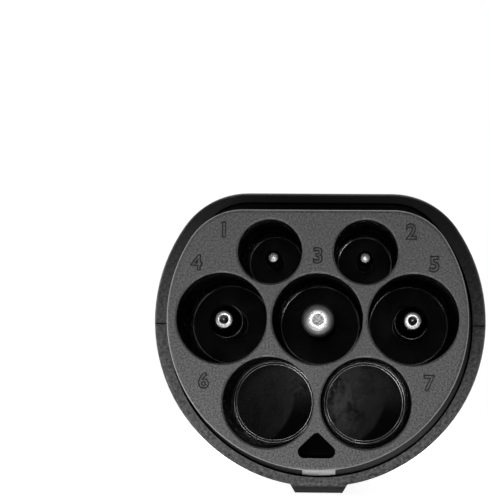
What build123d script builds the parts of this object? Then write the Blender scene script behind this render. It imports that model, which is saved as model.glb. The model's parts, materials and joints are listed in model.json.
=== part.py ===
from build123d import *
import math
import os

# An AC charging plug. X runs to the right, Y goes back from the mating face and Z is up.
# The origin is on the axis of the earth pin, in the plane of the mating face. All sizes in millimetres.

# Nose: the D-shaped moulding that holds the contacts
nose_r = 26.75            # round part of the outline, at the face
nose_drop = 0.1           # its centre, below the earth pin
nose_flat = 19.3          # height of the flat on top
nose_corner = 11.0        # radius between the flat and the round part
nose_draft = 0.4          # growth of the outline from the face to the back
nose_edge = 0.6           # rounded edge of the face
nose_length = 34.0        # from the face to the rim of the housing

# Wells in the nose
power_x = 17.0            # line and neutral wells, each side of the earth well
pilot_x = 8.5             # the two small wells above
pilot_z = 11.9
spare_x = 8.65            # the two empty wells below
spare_z = -14.85
power_well_r = 8.08
pilot_well_r = 5.73
well_draft = 0.5          # how much smaller a well is at its floor
spare_draft = 0.2         # the same, for the empty wells
well_overrun = 6.0        # how far the wells run behind the rim of the housing
well_edge = 0.3
floor_thickness = 6.0     # behind the wells
floor_skin = 1.0          # part of the floor in front of a pin's root

# Triangular pocket under the wells
pocket_top = -20.15
pocket_base = -24.65
pocket_half = 3.3
pocket_top_round = 0.85
pocket_base_round = 1.15
pocket_depth = 28.0

# Contact pins
power_pin_r = 3.0
pilot_pin_r = 1.5
earth_tip = 6.5           # depth of each tip behind the face: earth mates first
power_tip = 8.0
pilot_tip = 19.0
power_tip_r = 1.75        # flat end of the tapered tip
pilot_tip_r = 0.9
power_taper = 6.5
pilot_taper = 2.0
tip_round = 0.4
tip_step = 0.25           # small shoulder where the taper meets the pin
dome_length = 2.3         # the earth pin ends in a dome
dome_steps = 8
dimple_r = 0.85
dimple_depth = 0.5
neck_cut = 0.4            # groove round the pin where it goes through the skin of the floor
neck_start = 0.3          # in front of the floor
root_grow = 0.4           # the root, in the floor of the well, stands out from the pin
pin_shoulder = 1.8        # how far the flange stands out from the pin
flange_thickness = 2.0
seal_thickness = 1.8
barrel_wall = 1.1
barrel_grow = 0.6         # how far the crimp barrel stands out from the pin
barrel_length = 18.0      # behind the flange
wire_depth = 12.0
drill_point = 1.0

# Blanking plugs on the floors of the empty wells
blank_thickness = 1.6
blank_clearance = 0.05
blank_rim = 0.5           # raised rim round the disc
blank_rim_height = 0.45

# Housing: two halves parted level with the earth pin
collar_width = 2.05       # how far the collar stands out from the nose
collar_top = 3.7          # the same, over the flat
collar_corner = -1.35     # change of the corner radius from the nose to the collar
collar_gap = 0.35         # visible gap between the collar and the rim
mouth_rise = 0.1          # centre of the round part of the mouth above the earth pin
rim_wall = 2.45           # round the mouth
rim_top_wall = 1.8        # over the flat of the mouth
rim_corner = 5.0          # growth of the corner radius from the mouth to the outside
shell_rise = 0.75         # centre of the round part of the housing above the earth pin
shell_edge = 0.8
shell_wall = 2.2          # behind the rim
head_length = 56.0        # straight part behind the rim
neck_length = 42.0        # from the head down to the grip
grip_length = 58.0
grip_r = 21.5
grip_rise = -11.0
grip_flat = 9.0
grip_corner = 12.0
end_wall = 4.0
rest_z = -32.0            # the surface that the plug lies on

# Collar, gasket and ledge that hold the nose in the housing
collar_recess = 0.8       # behind the rim
gasket_thickness = 1.2
ledge_thickness = 3.0
ledge_gap = 0.3
retainer_thickness = 4.0
retainer_gap = 0.5

# Keeper plate under the nose, and the tab under the rim
keeper_width = 6.3
keeper_length = 5.0
tab_top_width = 11.2
tab_base_width = 9.0
tab_length = 14.0
tab_setback = 1.2         # behind the rim
tab_root = 0.7            # how far the tab is sunk in the wall
tab_edge = 0.6            # rounded edges at its front and foot

# Grooves across the grip
groove_count = 6
groove_width = 2.6
groove_pitch = 6.4
groove_depth = 0.7
groove_first = 9.0        # from the front end of the grip

# Screws
m3_r = 1.5
m3_head_r = 2.75
m3_head = 2.0
socket_r = 1.25
socket_depth = 1.1
screw_gap = 0.05          # beside a screw's thread
hole_past = 1.0           # how much deeper a screw's hole is than its thread
hole_gap = 0.2            # beside a screw in a through hole
retainer_screw_length = 12.0
retainer_upper = (17.0, 12.5)
retainer_lower = (19.5, -13.0)
boss_r = 3.6
insert_r = 2.3
insert_length = 4.0
shell_screw_reach = 6.0   # how far a housing screw goes below the parting plane before its head
head_screw_x = 25.0
head_screw_y = 28.0       # behind the rim
grip_screw_x = 11.8
grip_screw_front = 14.0   # behind the front end of the grip
grip_screw_back = 11.0    # before the end wall
parting_depth = 0.5       # shadow line round the outside where the halves meet
parting_half = 0.15
parting_start = 2.0       # behind the rim, whose own face has a shallow groove

# Coding board under the top of the housing
board_width = 26.0
board_length = 18.0
board_thickness = 1.6
board_back = 44.0         # middle of the board, behind the rim
board_z = 16.0            # lower face of the board
board_screw_x = 9.0
board_screw_r = 1.0
board_screw_length = 6.0
board_screw_head = 1.5
board_corner = 2.0
post_r = 2.6
resistor_r = 1.1
resistor_length = 6.5
lead_r = 0.35
lead_overhang = 1.5
lead_end = 0.5            # how far a lead stands out of the board

# Cable clamp and gland
cable_r = 7.6
clamp_before = 24.0       # middle of the clamp, before the end wall
clamp_width = 10.0
clamp_wall = 3.0
clamp_half = 15.6
clamp_screw_x = 11.6
clamp_screw_length = 11.0
bore_gap = 0.4            # between the cable and the parts that only guide it
gland_seal_wall = 2.8
gland_seal_length = 8.0
gland_wall = 1.8
gland_flange = 2.2
gland_flange_thickness = 3.0
gland_stub = 12.0         # threaded length behind the end wall
nut_wall = 2.4
nut_gap = 1.0             # between the nut and the end wall
nut_lip = 3.0
nut_chamfer = 1.6
fit_gap = 0.1             # between turned parts and their seats

# Depths that follow from the sizes above
well_depth = nose_length + well_overrun
skin_back = well_depth + floor_skin
carrier_back = well_depth + floor_thickness
flange_front = carrier_back - flange_thickness
seal_front = flange_front - seal_thickness
collar_front = nose_length + collar_recess
ledge_front = carrier_back - ledge_thickness
collar_back = ledge_front - gasket_thickness
retainer_back = carrier_back + retainer_thickness
head_end = nose_length + head_length
grip_start = head_end + neck_length
grip_end = grip_start + grip_length
cavity_end = grip_end - end_wall

# Outlines that follow from the nose outwards: mouth of the housing, then its outside
mouth_r = nose_r + collar_width + collar_gap
mouth_flat = nose_flat + collar_top + collar_gap
mouth_corner = nose_corner + collar_corner + collar_gap
shell_r = mouth_r + rim_wall
shell_flat = mouth_flat + rim_top_wall
shell_corner = mouth_corner + rim_corner
reach = 4 * shell_r       # larger than any section

# Places along the housing
board_y = nose_length + board_back
clamp_y = cavity_end - clamp_before
shell_screws_at = [
    (head_screw_x, nose_length + head_screw_y),
    (grip_screw_x, grip_start + grip_screw_front),
    (grip_screw_x, cavity_end - grip_screw_back),
]

WELLS = {
    "earth": (0.0, 0.0), "line": (-power_x, 0.0), "neutral": (power_x, 0.0),
    "proximity": (-pilot_x, pilot_z), "pilot": (pilot_x, pilot_z),
}
SPARE_WELLS = {"left": (-spare_x, spare_z), "right": (spare_x, spare_z)}
TIPS = {
    "earth": earth_tip, "line": power_tip, "neutral": power_tip, "proximity": pilot_tip, "pilot": pilot_tip,
}
RETAINER_SCREWS = [(side * x, z) for x, z in (retainer_upper, retainer_lower) for side in (-1, 1)]
SHELL_SCREWS = [(side * x, y) for x, y in shell_screws_at for side in (-1, 1)]


# Shared shapes

def d_profile(radius, rise, flat, corner):
    """Disc with a flat on top and rounded corners, drawn in X and Z."""
    disc = Pos(0, rise) * Rot(0, 0, -90) * Circle(radius)
    below = Pos(0, flat - reach / 2) * Rectangle(reach, reach)
    outline = disc & below
    corners = [v for v in outline.vertices() if abs(v.Y - flat) < 1e-4]
    return fillet(corners, corner)


def nose_profile(grow=0.0):
    return d_profile(nose_r + grow, -nose_drop, nose_flat + grow, nose_corner + grow)


def mouth_profile(inset=0.0):
    return d_profile(mouth_r - inset, mouth_rise, mouth_flat - inset, mouth_corner - inset)


def prism(profile, start, end):
    """Solid of a profile between two depths."""
    return extrude(Plane.XZ.offset(-end) * profile, amount=end - start)


def rod(x, z, radius, start, end):
    """Round bar along Y."""
    return prism(Pos(x, z) * Circle(radius), start, end)


def post(x, y, radius, low, high):
    """Round bar along Z."""
    return Pos(x, y, (low + high) / 2) * Cylinder(radius, high - low)


def turned(points, x=0.0, z=0.0):
    """Solid turned about an axis along Y, from points of radius and depth."""
    outline = make_face(Polyline(*points, close=True))
    return Pos(x, 0, z) * revolve(outline, Axis.Y)


def group(solids):
    return Compound(children=list(solids))


def screw(length, radius=m3_r, head_r=m3_head_r, head=m3_head):
    """Socket-head screw: its thread runs from Y = 0 to -length, its head stands behind."""
    body = turned([(0, -length), (radius, -length), (radius, 0), (head_r, 0), (head_r, head), (0, head)])
    socket = prism(RegularPolygon(socket_r, 6), head - socket_depth, head)
    return body - socket


def is_power(name):
    return TIPS[name] < pilot_tip


def pin_radius(name):
    return power_pin_r if is_power(name) else pilot_pin_r


# Contact carrier

def well(x, z, radius, draft=well_draft):
    """Tapered well from the face to its floor, its mouth slightly chamfered."""
    floor_r = radius - draft
    return turned([(0, 0), (radius + well_edge, 0), (radius, well_edge), (floor_r, well_depth),
                   (0, well_depth)], x, z)


def pin_seat(name):
    """Bore through the floor and the pocket behind it for the seal and the flange."""
    x, z = WELLS[name]
    r = pin_radius(name)
    bore = rod(x, z, r + fit_gap, well_depth - floor_skin, carrier_back)
    bore += rod(x, z, r + root_grow + fit_gap, skin_back, carrier_back)
    return bore + rod(x, z, r + pin_shoulder + fit_gap, seal_front, carrier_back)


def triangle_pocket():
    """Pocket whose outline wraps three rounds, the top one smaller."""
    across = pocket_half - pocket_base_round
    base = pocket_base + pocket_base_round
    rounds = [Pos(side * across, base) * Circle(pocket_base_round) for side in (-1, 1)]
    rounds.append(Pos(0, pocket_top - pocket_top_round) * Circle(pocket_top_round))
    edges = [edge for circle in rounds for edge in circle.edges()]
    return prism(make_hull(edges), 0, pocket_depth)


def keeper_notch(gap):
    """Slot for the keeper plate, cut in the collar under the nose."""
    top = -nose_drop - nose_r
    low = mouth_rise - mouth_r
    height = top - low
    shape = Pos(0, (top + low) / 2) * Rectangle(keeper_width + 2 * gap, height)
    return prism(shape, collar_front, collar_front + keeper_length + gap)


def contact_carrier():
    face = Plane.XZ * nose_profile()
    back = Plane.XZ.offset(-carrier_back) * nose_profile(nose_draft)
    nose = loft([face, back], ruled=True)
    nose = fillet(nose.edges().group_by(Axis.Y)[0], nose_edge)
    collar = prism(mouth_profile(collar_gap), collar_front, collar_back)
    carrier = nose + (collar - keeper_notch(fit_gap))
    for name, (x, z) in WELLS.items():
        carrier -= well(x, z, power_well_r if is_power(name) else pilot_well_r)
        carrier -= pin_seat(name)
    for x, z in SPARE_WELLS.values():
        carrier -= well(x, z, power_well_r, spare_draft)
        carrier -= rod(x, z, power_pin_r + fit_gap, well_depth - floor_skin, carrier_back)
    carrier -= triangle_pocket()
    for x, z in RETAINER_SCREWS:
        depth = retainer_screw_length - retainer_thickness + hole_past
        carrier -= rod(x, z, m3_r + screw_gap, carrier_back - depth, carrier_back)
    return carrier


def tapered_tip(r, tip, tip_r, taper):
    """Outline of a flat, dimpled tip, its taper and the small shoulder behind it."""
    dimple = min(dimple_r, tip_r / 2)
    neck = r - tip_step
    return [(0, tip + dimple_depth), (dimple, tip), (tip_r - tip_round, tip), (tip_r, tip + tip_round),
            (neck, tip + taper), (r, tip + taper + tip_step / 2)]


def domed_tip(r, tip):
    """Outline of a dimpled dome, as a quarter of an ellipse in short steps."""
    start = math.asin(dimple_r / r)
    angles = [start + (math.pi / 2 - start) * i / dome_steps for i in range(dome_steps + 1)]
    dome = [(r * math.sin(a), tip + dome_length * (1 - math.cos(a))) for a in angles]
    return [(0, dome[0][1] + dimple_depth)] + dome


def contact_pin(name):
    """Turned pin: tip, shank, neck and root in the floor of the well, flange and crimp barrel."""
    r = pin_radius(name)
    neck_r = r - neck_cut
    shank_end = well_depth - neck_start
    root_r = r + root_grow
    flange_r = r + pin_shoulder
    barrel_r = r + barrel_grow
    end = carrier_back + barrel_length
    if name == "earth":
        tip = domed_tip(r, TIPS[name])
    elif is_power(name):
        tip = tapered_tip(r, TIPS[name], power_tip_r, power_taper)
    else:
        tip = tapered_tip(r, TIPS[name], pilot_tip_r, pilot_taper)
    return turned(tip + [
        (r, shank_end), (neck_r, shank_end), (neck_r, skin_back), (root_r, skin_back),
        (root_r, flange_front), (flange_r, flange_front), (flange_r, carrier_back),
        (barrel_r, carrier_back), (barrel_r, end), (barrel_r - barrel_wall, end),
        (barrel_r - barrel_wall, end - wire_depth), (0, end - wire_depth - drill_point)], *WELLS[name])


def pin_seal(name):
    x, z = WELLS[name]
    r = pin_radius(name)
    ring = Circle(r + pin_shoulder) - Circle(r + root_grow + fit_gap / 2)
    return prism(Pos(x, z) * ring, seal_front, flange_front)


def blanking_plug(x, z):
    """Disc on the floor of an empty well, with a stem that fills the bore behind it."""
    disc_r = power_well_r - spare_draft - blank_clearance
    front = well_depth - blank_thickness
    rim = front - blank_rim_height
    edge = blank_rim / 2
    return turned([(0, front), (disc_r - blank_rim, front), (disc_r - blank_rim, rim), (disc_r - edge, rim),
                   (disc_r, rim + edge), (disc_r, well_depth), (power_pin_r, well_depth),
                   (power_pin_r, carrier_back), (0, carrier_back)], x, z)


def lock_keeper():
    block = keeper_notch(0) & prism(mouth_profile(collar_gap), collar_front, collar_back)
    return block - prism(nose_profile(nose_draft + fit_gap), collar_front, collar_back)


def nose_gasket():
    ring = mouth_profile(collar_gap) - nose_profile(nose_draft + ledge_gap)
    return prism(ring, collar_back, ledge_front)


def contact_retainer():
    """Plate behind the carrier: it traps the pins' flanges and pulls the nose against the ledge."""
    inset = shell_wall + retainer_gap
    plate = d_profile(shell_r - inset, shell_rise, shell_flat - inset, shell_corner - inset)
    for name, (x, z) in WELLS.items():
        plate -= Pos(x, z) * Circle(pin_radius(name) + barrel_grow + hole_gap)
    for x, z in RETAINER_SCREWS:
        plate -= Pos(x, z) * Circle(m3_r + hole_gap)
    return prism(plate, carrier_back, retainer_back)


def retainer_screws():
    return group(Pos(x, retainer_back, z) * screw(retainer_screw_length) for x, z in RETAINER_SCREWS)


# Housing

def grip_section(inset, blend):
    """Section of the housing between the head, at blend 0, and the grip, at blend 1."""
    ease = blend * blend * (3 - 2 * blend)

    def between(head, grip):
        return head + (grip - head) * ease

    return d_profile(
        between(shell_r, grip_r) - inset, between(shell_rise, grip_rise),
        between(shell_flat, grip_flat) - inset, between(shell_corner, grip_corner) - inset)


def housing_form(inset, start, end):
    """Outer form of the housing, or its cavity when inset by the wall."""
    blends = (0, 0.2, 0.4, 0.6, 0.8, 1)
    sections = [Plane.XZ.offset(-head_end - neck_length * b) * grip_section(inset, b) for b in blends]
    head = prism(grip_section(inset, 0), start, head_end)
    grip = prism(grip_section(inset, 1), grip_start, end)
    return head + loft(sections) + grip


def rim_tab():
    top = shell_rise - shell_r + tab_root
    a, b = tab_top_width / 2, tab_base_width / 2
    outline = make_face(Polyline((-a, top), (a, top), (b, rest_z), (-b, rest_z), close=True))
    start = nose_length + tab_setback
    tab = prism(outline, start, start + tab_length)
    foot = tab.faces().sort_by(Axis.Z)[0]
    return fillet(foot.edges().sort_by(Axis.Y)[0], tab_edge)


def grip_grooves():
    ring = grip_section(-1, 1) - grip_section(groove_depth, 1)
    start = grip_start + groove_first
    return [prism(ring, start + i * groove_pitch, start + i * groove_pitch + groove_width)
            for i in range(groove_count)]


def parting_line(form):
    """Shadow line along the outside, and a blind groove across the face of the rim."""
    start = nose_length + parting_start
    ring = prism(grip_section(0, 0) - mouth_profile(), nose_length, nose_length + parting_depth)
    side = form & slab(-parting_half, parting_half) & prism(Rectangle(reach, reach), start, grip_end)
    side -= housing_form(parting_depth, nose_length, grip_end)
    return side + (ring & slab(-parting_half, parting_half))


def gland_neck_r():
    return cable_r + gland_seal_wall + fit_gap + gland_wall


def housing_walls():
    """Both halves in one: the form with its flat underside, its cavity, mouth, ledge and gland hole."""
    form = housing_form(0, nose_length, grip_end)
    form = fillet(form.edges().group_by(Axis.Y)[0], shell_edge)
    form &= slab(rest_z, reach)
    form -= grip_grooves()
    form -= parting_line(form)
    form += rim_tab()
    form -= housing_form(shell_wall, carrier_back, cavity_end)
    form -= prism(mouth_profile(), nose_length, ledge_front)
    form -= prism(nose_profile(nose_draft + ledge_gap), ledge_front, carrier_back)
    return form - rod(0, grip_rise, gland_neck_r() + fit_gap, cavity_end, grip_end)


def slab(low, high):
    """Everything between two heights."""
    return Pos(0, 0, (low + high) / 2) * Box(4 * reach, 4 * reach, high - low)


def upper_shell(walls, form):
    shell = walls & slab(0, reach)
    for x, y in SHELL_SCREWS:
        shell += post(x, y, boss_r, 0, reach) & form
        shell -= post(x, y, insert_r + screw_gap, 0, insert_length)
        shell -= post(x, y, m3_r + hole_gap, 0, insert_length + hole_past)
    for side in (-1, 1):
        x = side * board_screw_x
        shell += post(x, board_y, post_r, board_z + board_thickness, reach) & form
        depth = board_screw_length - board_thickness + hole_past / 2
        top = board_z + board_thickness
        shell -= post(x, board_y, board_screw_r + screw_gap, top, top + depth)
    return shell


def lower_shell(walls, form):
    shell = walls & slab(-reach, 0)
    head_z = -shell_screw_reach
    for x, y in SHELL_SCREWS:
        shell += post(x, y, boss_r, -reach, 0) & form
        shell -= post(x, y, m3_r + hole_gap, head_z, 0)
        shell -= post(x, y, m3_head_r + hole_gap, -reach, head_z)
    cradle = Pos(0, clamp_y, grip_rise - reach / 2) * Box(2 * clamp_half, clamp_width, reach)
    shell += (cradle & form)
    shell -= rod(0, grip_rise, cable_r + bore_gap, clamp_y - clamp_width, clamp_y + clamp_width)
    for side in (-1, 1):
        depth = clamp_screw_length - clamp_wall + hole_past
        shell -= post(side * clamp_screw_x, clamp_y, m3_r + screw_gap, grip_rise - depth, grip_rise)
    return shell


def shell_inserts():
    ring = Circle(insert_r) - Circle(m3_r + screw_gap)
    return group(Pos(x, y, 0) * extrude(ring, amount=insert_length) for x, y in SHELL_SCREWS)


def shell_screws():
    length = shell_screw_reach + insert_length
    upward = Rot(-90, 0, 0) * screw(length)
    return group(Pos(x, y, -shell_screw_reach) * upward for x, y in SHELL_SCREWS)


# Coding board

def coding_board():
    outline = fillet(Rectangle(board_width, board_length).vertices(), board_corner)
    for side in (-1, 1):
        outline -= Pos(side * board_screw_x, 0) * Circle(board_screw_r + hole_gap)
        outline -= Pos(0, side * resistor_lead_y()) * Circle(lead_r + fit_gap)
    return Pos(0, board_y, board_z) * extrude(outline, amount=board_thickness)


def board_screws():
    upward = Rot(-90, 0, 0) * screw(board_screw_length, board_screw_r, 2 * board_screw_r, board_screw_head)
    return group(Pos(side * board_screw_x, board_y, board_z) * upward for side in (-1, 1))


def resistor_lead_y():
    return resistor_length / 2 + lead_overhang


def coding_resistor():
    """Axial resistor under the board, its leads turned up through the board."""
    z = board_z - resistor_r - fit_gap
    y = resistor_lead_y()
    top = board_z + board_thickness + lead_end
    path = Polyline((0, board_y - y, top), (0, board_y - y, z), (0, board_y + y, z), (0, board_y + y, top))
    start = Plane((0, board_y - y, top), z_dir=(0, 0, -1))
    lead = sweep(start * Circle(lead_r), path=path, transition=Transition.RIGHT)
    return lead + rod(0, z, resistor_r, board_y - resistor_length / 2, board_y + resistor_length / 2)


# Cable clamp and gland

def cable_clamp():
    """Strap over the cable, screwed down on the cradle in the lower half."""
    strap = Pos(0, grip_rise + clamp_wall / 2) * Rectangle(2 * clamp_half, clamp_wall)
    arch = Pos(0, grip_rise) * Circle(cable_r + bore_gap + clamp_wall)
    above = Pos(0, grip_rise + reach / 2) * Rectangle(reach, reach)
    outline = (strap + (arch & above)) - Pos(0, grip_rise) * Circle(cable_r + bore_gap)
    solid = prism(outline, clamp_y - clamp_width / 2, clamp_y + clamp_width / 2)
    for side in (-1, 1):
        solid -= post(side * clamp_screw_x, clamp_y, m3_r + hole_gap, grip_rise, grip_rise + clamp_wall)
        solid -= post(side * clamp_screw_x, clamp_y, m3_head_r + hole_gap, grip_rise + clamp_wall, 0)
    return solid


def clamp_screws():
    downward = Rot(90, 0, 0) * screw(clamp_screw_length)
    z = grip_rise + clamp_wall
    return group(Pos(side * clamp_screw_x, clamp_y, z) * downward for side in (-1, 1))


def gland_seal_r():
    return cable_r + gland_seal_wall


def gland_end():
    return grip_end + gland_stub


def gland_body():
    """Sleeve through the end wall: flange inside, thread outside, and a seat for the seal in its mouth."""
    neck = gland_neck_r()
    flange = neck + gland_flange
    inside = cavity_end - gland_flange_thickness
    bore = cable_r + bore_gap
    seat = gland_seal_r() + fit_gap
    seat_start = gland_end() - gland_seal_length
    return turned([(bore, inside), (flange, inside), (flange, cavity_end), (neck, cavity_end),
                   (neck, gland_end()), (seat, gland_end()), (seat, seat_start), (bore, seat_start)],
                  0, grip_rise)


def gland_seal():
    ring = Circle(gland_seal_r()) - Circle(cable_r)
    return prism(Pos(0, grip_rise) * ring, gland_end() - gland_seal_length, gland_end())


def gland_nut():
    """Hexagonal nut over the sleeve, with a lip behind the seal."""
    inner = gland_neck_r() + fit_gap
    across = inner + nut_wall
    start = grip_end + nut_gap
    lip = gland_end() + fit_gap
    end = lip + nut_lip
    hexagon = RegularPolygon(across, 6, major_radius=False, rotation=30)
    body = prism(Pos(0, grip_rise) * hexagon, start, end)
    corner = across / math.cos(math.pi / 6)
    envelope = turned([(0, start), (across, start), (corner, start + nut_chamfer),
                       (corner, end - 2 * nut_chamfer), (across - nut_chamfer, end), (0, end)], 0, grip_rise)
    body &= envelope
    body -= rod(0, grip_rise, inner, start, lip)
    return body - rod(0, grip_rise, cable_r + bore_gap, start, end)


def all_parts():
    form = housing_form(0, nose_length, grip_end) & slab(rest_z, reach)
    walls = housing_walls()
    parts = {
        "contact_carrier": contact_carrier(),
        "lock_keeper": lock_keeper(),
        "nose_gasket": nose_gasket(),
        "contact_retainer": contact_retainer(),
        "retainer_screws": retainer_screws(),
        "upper_shell": upper_shell(walls, form),
        "lower_shell": lower_shell(walls, form),
        "shell_inserts": shell_inserts(),
        "shell_screws": shell_screws(),
        "coding_board": coding_board(),
        "coding_resistor": coding_resistor(),
        "board_screws": board_screws(),
        "cable_clamp": cable_clamp(),
        "clamp_screws": clamp_screws(),
        "gland_body": gland_body(),
        "gland_seal": gland_seal(),
        "gland_nut": gland_nut(),
    }
    for name in WELLS:
        parts[name + "_pin"] = contact_pin(name)
        parts[name + "_seal"] = pin_seal(name)
    for side, (x, z) in SPARE_WELLS.items():
        parts["blanking_plug_" + side] = blanking_plug(x, z)
    return parts


os.makedirs("parts", exist_ok=True)
for node, shape in all_parts().items():
    export_step(shape, f"parts/{node}.step")
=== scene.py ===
# Looks of the EV charging plug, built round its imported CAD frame. Lengths are in metres, apart from the
# radii of the wells, the turned sections and the rings, which are in millimetres.
import json
import math

import bmesh
import bpy
from mathutils import Matrix, Vector


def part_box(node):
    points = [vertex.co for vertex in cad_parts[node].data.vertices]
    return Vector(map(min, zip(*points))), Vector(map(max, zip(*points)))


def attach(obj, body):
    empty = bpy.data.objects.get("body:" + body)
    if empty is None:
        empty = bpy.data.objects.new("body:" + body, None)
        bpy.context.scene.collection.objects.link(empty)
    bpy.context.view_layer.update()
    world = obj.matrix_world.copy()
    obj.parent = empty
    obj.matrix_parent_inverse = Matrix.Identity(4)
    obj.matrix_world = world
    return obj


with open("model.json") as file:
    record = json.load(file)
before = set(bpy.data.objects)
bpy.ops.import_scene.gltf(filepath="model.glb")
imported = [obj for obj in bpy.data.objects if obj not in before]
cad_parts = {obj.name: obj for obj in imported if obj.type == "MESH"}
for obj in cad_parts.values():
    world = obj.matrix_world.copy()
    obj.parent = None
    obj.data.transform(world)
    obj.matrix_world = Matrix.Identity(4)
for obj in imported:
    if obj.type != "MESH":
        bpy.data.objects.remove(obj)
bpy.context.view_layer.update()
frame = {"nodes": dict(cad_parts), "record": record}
nodes = frame["nodes"]
MM = 0.001

POWER_PINS = ("earth", "line", "neutral")
PILOT_PINS = ("proximity", "pilot")
PINS = POWER_PINS + PILOT_PINS
PLUGS = ("left", "right")

# Places that come from the frame
nose_low, nose_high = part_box("contact_carrier")
shell_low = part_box("lower_shell")[0]
floor_z = shell_low.z
rim_y = shell_low.y

# Sizes of the nose that no node's box gives
face_top = 19.3 * MM              # height of the flat of the D
plug_height = 2.05 * MM           # from the floor of an empty well to the front of its blanking plug
floor_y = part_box("blanking_plug_left")[0].y + plug_height
power_well_r, pilot_well_r = 8.08, 5.73         # at the mouth
well_draft = 0.5                  # how much smaller a well is at its floor
pocket_z, pocket_r = -23.0 * MM, 3.2 * MM       # circle that covers the triangular pocket
earth_tip, power_tip, pilot_tip = 6.5 * MM, 8.0 * MM, 19.0 * MM     # their depth behind the face

ORIGIN = (0, 0, 0)                # on the axis of the earth pin, in the plane of the face


def well_r(pin):
    """Radius of a pin's well at its mouth."""
    return power_well_r if pin in POWER_PINS else pilot_well_r


def middle(node):
    """Point halfway between a node's corners."""
    low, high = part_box(node)
    return (low + high) / 2


# Centre and radius of each well, and of the pocket under them
WELLS = [(middle(pin + "_pin"), well_r(pin) * MM) for pin in PINS]
WELLS += [(middle("blanking_plug_" + side), power_well_r * MM) for side in PLUGS]
WELLS.append((Vector((0, 0, pocket_z)), pocket_r))


# Node material helpers

MIX_A, MIX_B, MIX_RESULT = 6, 7, 2      # sockets of a colour Mix node
NO_Y = (1, 0, 1)                        # drops the part of a vector along Y


class Shader:
    """A node material: its principled shader and short calls that add nodes to it."""

    def __init__(self, name, roughness, **sockets):
        self.material = bpy.data.materials.new(name)
        self.material.use_nodes = True
        self.tree = self.material.node_tree
        self.shader = self.tree.nodes["Principled BSDF"]
        self.shader.inputs["Roughness"].default_value = roughness
        for socket, value in sockets.items():
            self.shader.inputs[socket.replace("_", " ")].default_value = value
        self.coordinates = self.tree.nodes.new("ShaderNodeTexCoord").outputs["Object"]

    def add(self, kind, inputs=None, **settings):
        """Adds a node, with a value or a link for each named input."""
        node = self.tree.nodes.new("ShaderNode" + kind)
        for key, value in settings.items():
            setattr(node, key, value)
        for key, value in (inputs or {}).items():
            self.feed(node.inputs[key], value)
        return node

    def feed(self, socket, value):
        """Links an output to a socket, or sets a plain value on it."""
        if isinstance(value, bpy.types.NodeSocket):
            self.tree.links.new(value, socket)
        else:
            socket.default_value = value

    def noise(self, scale, detail, roughness=0.55, where=None, distortion=0.0):
        node = self.add("TexNoise", {"Vector": where or self.coordinates, "Scale": scale, "Detail": detail,
                                     "Roughness": roughness, "Distortion": distortion})
        return node.outputs[0]

    def stretched(self, scale):
        """The object's coordinates, scaled along each axis."""
        return self.add("Mapping", {"Vector": self.coordinates, "Scale": scale}).outputs[0]

    def math(self, operation, a, b):
        return self.add("Math", {0: a, 1: b}, operation=operation).outputs[0]

    def vector_math(self, operation, a, b=None, output=0):
        inputs = {0: a} if b is None else {0: a, 1: b}
        return self.add("VectorMath", inputs, operation=operation).outputs[output]

    def spread(self, value, low, high, to_low=0.0, to_high=1.0):
        """Maps a range of a value to another, clamped."""
        node = self.add("MapRange", {"Value": value, "From Min": low, "From Max": high, "To Min": to_low,
                                     "To Max": to_high})
        return node.outputs[0]

    def mix(self, factor, a, b):
        node = self.add("Mix", {"Factor": factor}, data_type="RGBA")
        self.feed(node.inputs[MIX_A], a)
        self.feed(node.inputs[MIX_B], b)
        return node.outputs[MIX_RESULT]

    def colour(self, value):
        self.feed(self.shader.inputs["Base Color"], value)

    def rough(self, value):
        self.feed(self.shader.inputs["Roughness"], value)

    def bump(self, height, distance):
        """Adds the surface's fine relief."""
        relief = self.add("Bump", {"Height": height, "Distance": distance}).outputs[0]
        self.feed(self.shader.inputs["Normal"], relief)

    def outward(self, centre):
        """Vector from an axis along Y, through a point, out to the surface."""
        return self.vector_math("MULTIPLY", self.vector_math("SUBTRACT", self.coordinates, centre), NO_Y)

    def across(self, centre):
        """Distance from an axis along Y through a point."""
        return self.vector_math("LENGTH", self.outward(centre), output="Value")

    def axis(self, name):
        """The object's X, Y or Z coordinate."""
        return self.add("SeparateXYZ", {0: self.coordinates}).outputs["XYZ".index(name)]


def grey(value):
    return (value, value, value * 1.01, 1)


def grained(s, tone, grain, contrast):
    """Colour of spark-eroded plastic: soft clouds with fine pale and dark specks."""
    clouds = s.noise(90, 5)
    specks = s.noise(grain, 3, 0.75)
    flecks = s.noise(grain * 2.3, 2, 0.7)
    base = s.mix(s.spread(clouds, 0.35, 0.65), grey(tone * 0.88), grey(tone * 1.12))
    dark, pale, palest = (grey(tone * (1 + share * contrast)) for share in (-1, 1, 2))
    speckled = s.mix(s.spread(specks, 0.36, 0.64), dark, pale)
    flecked = s.mix(s.spread(flecks, 0.62, 0.72), speckled, palest)
    return s.mix(0.2, flecked, base), specks


# Plastics, metals, rubber and laminate

def moulded(name, tone, roughness, grain, grain_depth):
    """Moulded plastic with a fine texture."""
    s = Shader(name, roughness)
    colour, specks = grained(s, tone, grain, contrast=0.3)
    s.colour(colour)
    s.rough(s.spread(s.noise(60, 3), 0.3, 0.7, roughness - 0.06, roughness + 0.06))
    s.bump(specks, grain_depth)
    return s.material


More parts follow.
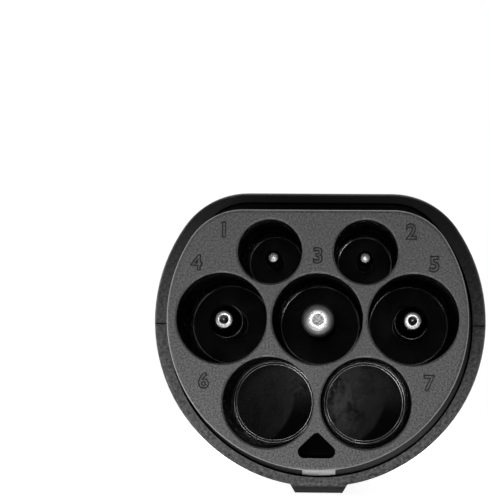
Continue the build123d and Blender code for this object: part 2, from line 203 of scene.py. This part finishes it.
def nose_material():
    """Textured face, painted darker towards the flat as shade and pale on its rounded edge as a painted
    highlight; collar painted darker as shade; smooth, glossy black wells, their near black partly the
    plastic's own tone and partly painted shade.
    """
    plastic_rough = 0.62
    s = Shader("nose_plastic", plastic_rough, Specular_IOR_Level=0.07)
    depth, height = s.axis("Y"), s.axis("Z")
    behind_face = s.spread(depth, 0.5 * MM, 1.2 * MM)

    # the face, with painted shade that darkens it towards the flat, and a painted highlight, pale, on its
    # rounded edge
    face, specks = grained(s, 0.122, 3100, 0.7)
    shade_towards_flat = s.spread(height, 0.7 * nose_low.z, face_top)
    face = s.mix(s.math("MULTIPLY", shade_towards_flat, 0.3), face, grey(0.06))
    # painted highlight: the rounded edge of the face is painted pale, as where it catches the light
    round_edge = s.spread(s.across(ORIGIN), nose_high.x - 3.6 * MM, nose_high.x - 3.2 * MM)
    flat_edge = s.spread(height, face_top - 1.0 * MM, face_top - 0.6 * MM)
    painted_light = s.math("MULTIPLY", s.math("MAXIMUM", round_edge, flat_edge), s.spread(depth, 0.1 * MM, 0.3 * MM))
    face = s.mix(s.math("MULTIPLY", painted_light, 0.8), face, grey(0.36))

    # the sides of the nose and its collar, painted darker than the face as shade in the gap round the nose,
    # and darker still towards the flat as painted shade
    sides = s.mix(shade_towards_flat, grey(0.055), grey(0.006))
    sides = s.mix(s.spread(specks, 0.35, 0.65, 0, 0.5), sides, grey(0.02))
    plastic = s.mix(behind_face, face, sides)

    # the wells, out to a little more than their radius: smooth, and near black, partly the plastic's own
    # tone and partly painted shade deep in the wells
    in_well = None
    for centre, radius in WELLS:
        here = s.spread(s.across(centre), radius + 0.5 * MM, radius + 0.3 * MM)
        in_well = here if in_well is None else s.math("MAXIMUM", in_well, here)
    in_well = s.math("MULTIPLY", in_well, behind_face)
    smears = s.noise(150, 5, 0.6, distortion=0.8)
    shaded_wall = s.mix(s.spread(smears, 0.4, 0.8), grey(0.003), grey(0.01))
    wall_rough = s.spread(smears, 0.3, 0.7, 0.16, 0.4)

    s.colour(s.mix(in_well, plastic, shaded_wall))
    smoother = s.math("MULTIPLY", in_well, s.math("SUBTRACT", wall_rough, plastic_rough))
    s.rough(s.math("ADD", smoother, plastic_rough))
    s.bump(specks, 0.03 * MM)
    return s.material


def shell_material():
    """Textured housing; the face of its rim has painted light, pale low down, and painted shade, dark at the
    top; its foot is painted dark as shade.
    """
    s = Shader("shell_plastic", 0.55, Specular_IOR_Level=0.3)
    plastic, specks = grained(s, 0.045, 1700, 0.8)
    painted_light, _ = grained(s, 0.085, 1500, 0.95)
    depth, height = s.axis("Y"), s.axis("Z")
    on_rim = s.spread(depth, rim_y + 3.0 * MM, rim_y + 1.0 * MM)
    # painted light and shade on the face of the rim: pale low down, near black at the top
    rim = s.mix(s.spread(height, -22 * MM, 20 * MM), painted_light, grey(0.012))
    # painted shade: the housing darkens at its foot, next to the floor
    shade_at_foot = s.spread(height, floor_z + 1.4 * MM, floor_z + 1.1 * MM)
    s.colour(s.mix(shade_at_foot, s.mix(on_rim, plastic, rim), grey(0.014)))
    s.rough(s.spread(s.noise(60, 3), 0.3, 0.7, 0.48, 0.6))
    s.bump(specks, 0.05 * MM)
    return s.material


def silver(name, tip, roughness=0.16, tone=0.9, satin_shade_from=None):
    """Turned, silver-plated metal: rings from the tool, faint tarnish, painted shade behind the tip."""
    s = Shader(name, roughness, Metallic=1.0)
    rings = s.noise(1.0, 2, 0.5, s.stretched((30, 6000, 30)))
    tarnish = s.noise(1400, 4, 0.65)
    clean = (tone, tone, tone * 0.98, 1)
    dull = (tone * 0.5, tone * 0.49, tone * 0.46, 1)
    metal = s.mix(s.spread(tarnish, 0.46, 0.72), clean, dull)
    finish = s.spread(tarnish, 0.3, 0.7, roughness - 0.04, roughness + 0.1)
    # past that radius the end is rougher, and painted darker as shade on its slope
    if satin_shade_from:
        satin_shade = s.spread(s.across(ORIGIN), satin_shade_from, satin_shade_from + 0.3 * MM)
        finish = s.math("ADD", finish, s.math("MULTIPLY", satin_shade, 0.35))
        metal = s.mix(satin_shade, metal, grey(tone * 0.45))
    # painted shade: from 2 to 9 mm behind the tip the metal fades to near black, deep in its well
    shade_behind_tip = s.spread(s.axis("Y"), tip + 2.0 * MM, tip + 9.0 * MM)
    s.colour(s.mix(shade_behind_tip, metal, grey(0.025)))
    s.rough(finish)
    s.bump(rings, 0.008 * MM)
    return s.material


def mottled_silver():
    """Pitted plating in the middle of the earth pin's end."""
    s = Shader("earth_centre", 0.34, Metallic=1.0)
    pits = s.noise(2600, 4, 0.7)
    s.colour(s.mix(s.spread(pits, 0.4, 0.6), grey(0.3), grey(0.85)))
    s.bump(pits, 0.02 * MM)
    return s.material


def steel(name, tone, roughness, tint=(1, 1, 1)):
    """Plain metal with soft clouds in its colour and finish."""
    s = Shader(name, roughness, Metallic=1.0)
    cloud = s.noise(400, 5)
    colour = tuple(tone * t for t in tint) + (1,)
    dark = tuple(tone * 0.7 * t for t in tint) + (1,)
    s.colour(s.mix(s.spread(cloud, 0.35, 0.7), colour, dark))
    s.rough(s.spread(cloud, 0.3, 0.7, roughness - 0.06, roughness + 0.1))
    s.bump(s.noise(3000, 2), 0.02 * MM)
    return s.material


def plated():
    """Light grey plated plate under the nose."""
    s = Shader("keeper_metal", 0.5, Metallic=0.2)
    s.colour(s.mix(s.spread(s.noise(1500, 4), 0.3, 0.7), grey(0.52), grey(0.68)))
    s.bump(s.noise(2500, 2), 0.03 * MM)
    return s.material


def rubber():
    """Dull black rubber of the seals."""
    s = Shader("seal_rubber", 0.75)
    s.colour(s.mix(s.spread(s.noise(900, 5), 0.35, 0.7), grey(0.012), grey(0.03)))
    s.bump(s.noise(2600, 3), 0.06 * MM)
    return s.material


def glossy_black(name, centre):
    """Smooth moulded plug in an empty well, with the marks of handling on it."""
    gloss, dullest = 0.1, 0.42
    s = Shader(name, gloss, Specular_IOR_Level=0.08)
    smears = s.noise(120, 5, 0.6, distortion=0.6)
    scratches = s.noise(1, 3, 0.6, s.stretched((900, 200, 5200)))
    dust = s.noise(2600, 2, 0.7)
    tone = s.mix(s.spread(smears, 0.4, 0.75), grey(0.003), grey(0.012))
    tone = s.mix(s.spread(scratches, 0.6, 0.75, 0, 0.35), tone, grey(0.03))
    s.colour(s.mix(s.spread(dust, 0.58, 0.72, 0, 0.7), tone, grey(0.05)))

    # a dull, wiped patch with a curved edge over the low right of the plug
    reach = s.across((centre.x - 6.3 * MM, 0, centre.z + 1.3 * MM))
    low_down = s.spread(s.axis("Z"), centre.z + 3 * MM, centre.z - 3 * MM)
    patch = s.math("MULTIPLY", s.spread(reach, 9.6 * MM, 10.4 * MM), low_down)
    mottle = s.spread(s.noise(1500, 4, 0.75), 0.38, 0.62)
    dull = s.math("MULTIPLY", s.spread(smears, 0.42, 0.7), mottle)
    s.rough(s.spread(s.math("MAXIMUM", dull, patch), 0, 1, gloss, dullest))
    s.bump(s.noise(260, 3), 0.01 * MM)
    return s.material


def laminate():
    """Green solder mask over copper tracks."""
    s = Shader("board_laminate", 0.4)
    tracks = s.noise(600, 1, 0.3)
    s.colour(s.mix(s.spread(tracks, 0.48, 0.52), (0.01, 0.09, 0.03, 1), (0.015, 0.14, 0.05, 1)))
    s.bump(tracks, 0.03 * MM)
    return s.material


def painted_highlight_edge(name, tone, centre=None, toward=None, peak=None, narrow=0.9):
    """Fine edge of a moulding with a pale, metal-like finish that stands in for its highlight, painted
    dimmer in patches. With a peak, a glint is painted on one side of its centre.
    """
    s = Shader(name, 0.25, Metallic=0.85)
    patches = s.noise(170, 2, 0.5)
    edge = s.mix(s.spread(patches, 0.44, 0.6), grey(tone * 0.3), grey(tone))
    if peak:
        unit = s.vector_math("NORMALIZE", s.outward(centre))
        facing = s.vector_math("DOT_PRODUCT", unit, toward, "Value")
        edge = s.mix(s.spread(facing, narrow, 0.99), edge, grey(peak))
    s.colour(edge)
    s.bump(s.noise(900, 2), 0.01 * MM)
    return s.material


# Finish of each slot, and of the nodes that have one of their own
MATERIALS = {
    "nose_plastic": nose_material(),
    "shell_plastic": shell_material(),
    "inner_plastic": moulded("inner_plastic", 0.05, 0.55, 2500, 0.04 * MM),
    "pin_metal": silver("pin_metal", power_tip),
    "keeper_metal": plated(),
    "screw_steel": steel("screw_steel", 0.55, 0.35),
    "insert_brass": steel("insert_brass", 0.7, 0.3, (1.0, 0.78, 0.4)),
    "seal_rubber": rubber(),
    "board_laminate": laminate(),
    "resistor_body": moulded("resistor_body", 0.3, 0.4, 900, 0.03 * MM),
}
pilot_silver = silver("pilot_silver", pilot_tip, 0.2, 0.95)
FINISH_OF = {
    "earth_pin": silver("earth_silver", earth_tip, 0.17, 0.97, satin_shade_from=1.8 * MM),
    "pilot_pin": pilot_silver,
    "proximity_pin": pilot_silver,
}
for side in PLUGS:
    FINISH_OF["blanking_plug_" + side] = glossy_black("plug_" + side, middle("blanking_plug_" + side))
slot_of = {row["node"]: row["material_slot"] for row in frame["record"]["subparts"]}
for name, obj in nodes.items():
    obj.data.materials.clear()
    obj.data.materials.append(FINISH_OF.get(name) or MATERIALS[slot_of[name]])


def dress(obj, material):
    """Links a new piece to the scene, gives it its finish and lets it ride on the plug."""
    obj.data.materials.append(material)
    bpy.context.scene.collection.objects.link(obj)
    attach(obj, "root")


# Turned details: rounded ends of the pins, fine edges of the floors and of the blanking plugs

TURN_STEPS = 96
SAME_POINT = 0.001 * MM
SHARP_FROM = math.radians(40)


def turned(name, centre, profile, material):
    """A closed section, given as (radius, y) in millimetres, turned about an axis along Y."""
    shape = bmesh.new()
    axis = Vector((centre.x, 0, centre.z))
    loops = []
    for i in range(TURN_STEPS):
        angle = 2 * math.pi * i / TURN_STEPS
        out = Vector((math.cos(angle), 0, math.sin(angle)))
        points = [axis + out * radius * MM + Vector((0, y * MM, 0)) for radius, y in profile]
        loops.append([shape.verts.new(point) for point in points])
    for i, loop in enumerate(loops):
        after = loops[(i + 1) % TURN_STEPS]
        for k in range(len(profile)):
            n = (k + 1) % len(profile)
            shape.faces.new((loop[k], loop[n], after[n], after[k]))
    bmesh.ops.remove_doubles(shape, verts=shape.verts, dist=SAME_POINT)
    bmesh.ops.recalc_face_normals(shape, faces=shape.faces)
    mesh = bpy.data.meshes.new(name)
    shape.to_mesh(mesh)
    shape.free()
    mesh.shade_smooth()
    mesh.set_sharp_from_angle(angle=SHARP_FROM)
    dress(bpy.data.objects.new(name, mesh), material)


def hoop(name, centre, inner, outer, front, back, material):
    """A flat ring, with its radii and its Y places in millimetres."""
    profile = ((inner, back), (inner, front), (outer, front), (outer, back))
    turned(name, centre, profile, material)


# Sections of the pins' ends, round those of the solids: (radius, y)
EARTH_END = ((1.05, 6.9), (1.05, 6.48), (1.09, 6.44), (1.12, 6.44), (1.84, 6.44), (1.9, 6.45), (2.4, 6.6),
             (2.78, 6.84), (2.95, 7.2), (3.01, 8.6), (2.9, 8.7), (2.2, 7.3))
EARTH_CENTRE = ((0.0, 6.9), (0.0, 6.53), (0.3, 6.53), (1.06, 6.5), (1.06, 6.9))
POWER_END = ((0.92, 8.3), (0.92, 7.98), (0.96, 7.94), (0.99, 7.94), (1.42, 7.94), (1.45, 7.95), (1.66, 8.06),
             (1.78, 8.4), (1.86, 9.2), (1.4, 8.8))
PILOT_END = ((0.0, 19.3), (0.0, 18.94), (0.85, 18.94), (0.88, 18.95), (0.96, 19.04), (1.0, 19.3))
END_OF = {"earth": EARTH_END, "line": POWER_END, "neutral": POWER_END, "proximity": PILOT_END,
          "pilot": PILOT_END}

# Where glints are painted on the fine edges, and how bright those painted on the floors are
UPPER_LEFT = (-0.79, 0, 0.61)
UPPER_RIGHT = (0.77, 0, 0.64)
GLINT = {"earth": 0.5, "line": 0.15, "neutral": 0.3, "proximity": 0.2, "pilot": 0.9}


def pin_end(pin):
    """Turned end of a pin, in the pin's own metal."""
    metal = nodes[pin + "_pin"].data.materials[0]
    turned(pin + "_pin_end", middle(pin + "_pin"), END_OF[pin], metal)


def floor_edge(pin):
    """Fine ring where a well's wall meets its floor, with a painted highlight and a glint painted on its
    upper left.
    """
    name = pin + "_floor_edge"
    centre = middle(pin + "_pin")
    edge = well_r(pin) - well_draft
    floor = floor_y / MM
    finish = painted_highlight_edge(name, 0.07, centre, UPPER_LEFT, GLINT[pin])
    hoop(name, centre, edge - 0.18, edge - 0.03, floor - 0.12, floor + 0.1, finish)


def plug_edges(side):
    """Two fine rings round the front of a blanking plug, pale as a painted highlight, with a glint painted
    on their upper right.
    """
    low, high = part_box("blanking_plug_" + side)
    centre = (low + high) / 2
    edge, front = (high.x - low.x) / 2 / MM, low.y / MM
    finish = painted_highlight_edge("plug_edge_" + side, 0.4, centre, UPPER_RIGHT, 0.9, 0.75)
    hoop("plug_edge_" + side, centre, edge - 0.2, edge - 0.06, front - 0.03, front + 0.2,
         finish)
    hoop("plug_ring_" + side, centre, edge - 0.62, edge - 0.5, front - 0.02, front + 0.3,
         finish)


for pin in PINS:
    pin_end(pin)
    floor_edge(pin)
turned("earth_pin_centre", middle("earth_pin"), EARTH_CENTRE, mottled_silver())

# a fine ring round the full width of the line and neutral pins, behind their taper, pale as a painted
# highlight on the shoulder
shoulder_highlight = painted_highlight_edge("shoulder_edge", 0.4)
for pin in ("line", "neutral"):
    hoop(pin + "_pin_shoulder", middle(pin + "_pin"), 2.9, 3.05, 17.4, 17.6, shoulder_highlight)
for side in PLUGS:
    plug_edges(side)


# Plain numerals beside the wells

numeral_height = 2.7 * MM
numeral_line = 0.11 * MM      # half the thickness of the raised line
numeral_grow = 0.08 * MM      # how far the line lies outside the font's outline
cap_height = 0.73             # height of a figure as a share of the font's size
NUMERALS = {                  # (x, z) of each one's centre, in millimetres
    "1": (-16.7, 15.5), "2": (16.5, 15.3), "3": (0.0, 11.0), "4": (-21.5, 9.6), "5": (20.6, 9.6),
    "6": (-20.1, -11.3), "7": (19.7, -11.4),
}
# painted shade: the raised outlines are near black, for the shade along the edges of the figures
numeral_shade_finish = moulded("numeral_line", 0.008, 0.5, 2400, 0.01 * MM)


def numeral(text, x, z):
    """A figure moulded on the face as a fine raised outline, coloured near black as painted shade along its
    edges.
    """
    curve = bpy.data.curves.new("numeral_" + text, "FONT")
    curve.body = text
    curve.size = numeral_height / cap_height
    curve.align_x = "CENTER"
    curve.align_y = "CENTER"
    curve.fill_mode = "NONE"
    curve.offset = numeral_grow
    curve.bevel_depth = numeral_line
    curve.resolution_u = 6
    obj = bpy.data.objects.new("numeral_" + text, curve)
    obj.location = (x * MM, nose_low.y, z * MM)
    obj.rotation_euler = (math.radians(90), 0, 0)
    dress(obj, numeral_shade_finish)


for text, (x, z) in NUMERALS.items():
    numeral(text, x, z)


# Stage, light and camera

def plane(name, size, location):
    """A square of the stage."""
    mesh = bpy.data.meshes.new(name)
    h = size / 2
    mesh.from_pydata([(-h, -h, 0), (h, -h, 0), (h, h, 0), (-h, h, 0)], [], [(0, 1, 2, 3)])
    obj = bpy.data.objects.new(name, mesh)
    obj.location = location
    bpy.context.scene.collection.objects.link(obj)
    return obj


def floor_material():
    """White floor. Only the camera sees the extra glow, so it puts no light on the plug."""
    s = Shader("floor_white", 0.9)
    s.colour(grey(0.85))
    s.shader.inputs["Emission Color"].default_value = grey(1.0)
    rays = s.add("LightPath")
    away = s.vector_math("LENGTH", s.coordinates, output="Value")
    glow = s.spread(away, 0.2, 0.6, 0.86, 1.05)
    s.feed(s.shader.inputs["Emission Strength"], s.math("MULTIPLY", rays.outputs["Is Camera Ray"], glow))
    return s.material


def studio_world():
    """A white background for the camera, which puts only a dim light on the plug."""
    world = bpy.data.worlds.new("studio")
    bpy.context.scene.world = world
    world.use_nodes = True
    tree = world.node_tree
    background = tree.nodes["Background"]
    background.inputs["Color"].default_value = (1, 1, 1, 1)
    rays = tree.nodes.new("ShaderNodeLightPath")
    strength = tree.nodes.new("ShaderNodeMapRange")
    strength.inputs["To Min"].default_value = 0.12
    strength.inputs["To Max"].default_value = 1.0
    tree.links.new(rays.outputs["Is Camera Ray"], strength.inputs["Value"])
    tree.links.new(strength.outputs[0], background.inputs["Strength"])


def soft_light(name, location, target, size, power):
    """A rectangular light aimed at a point, which the camera doesn't see."""
    data = bpy.data.lights.new(name, "AREA")
    data.shape = "RECTANGLE"
    data.size, data.size_y = size
    data.energy = power
    obj = bpy.data.objects.new(name, data)
    obj.location = location
    direction = Vector(target) - Vector(location)
    obj.rotation_euler = direction.to_track_quat("-Z", "Y").to_euler()
    obj.visible_camera = False
    bpy.context.scene.collection.objects.link(obj)


def photo_camera():
    """A camera at the photograph's viewpoint."""
    place = Vector((5.75, -430, -14.83)) * MM
    yaw, pitch, roll = (math.radians(a) for a in (-2.5, 3.61, 0.53))
    data = bpy.data.cameras.new("camera")
    data.lens = 176.09
    data.clip_start = 0.01
    data.clip_end = 20
    forward = Vector((math.sin(yaw) * math.cos(pitch), math.cos(yaw) * math.cos(pitch), math.sin(pitch)))
    level = Vector((math.cos(yaw), -math.sin(yaw), 0))
    upright = level.cross(forward)
    right = level * math.cos(roll) + upright * math.sin(roll)
    up = upright * math.cos(roll) - level * math.sin(roll)
    turn = Matrix((right, up, -forward)).transposed()
    camera = bpy.data.objects.new("camera", data)
    camera.matrix_world = Matrix.Translation(place) @ turn.to_4x4()
    bpy.context.scene.collection.objects.link(camera)
    bpy.context.scene.camera = camera


floor = plane("floor", 8.0, (0, 0, floor_z))
floor.data.materials.append(floor_material())
floor.visible_shadow = False    # light_table shines through it from below

studio_world()
soft_light("light_table", (-0.08, -0.1, -0.14), (0, 0.015, -0.02), (0.2, 0.1), 0.48)
soft_light("pin_card", (-0.012, -0.9, 0.048), (0, 0, 0), (0.13, 0.07), 0.13)
soft_light("by_camera", (-0.006, -0.9, -0.012), (0, 0, -0.01), (0.028, 0.03), 0.032)
soft_light("top", (0, 0.3, 0.8), (0, 0.15, 0), (0.7, 0.5), 6.0)
soft_light("left", (-0.7, 0.3, 0.25), (0, 0.1, 0), (0.5, 0.4), 3.0)
soft_light("right", (0.7, 0.35, 0.25), (0, 0.1, 0), (0.5, 0.4), 2.0)
soft_light("back", (0.1, 0.9, 0.3), (0, 0.15, 0), (0.4, 0.4), 2.0)
photo_camera()
bpy.context.scene.view_settings.view_transform = "Standard"
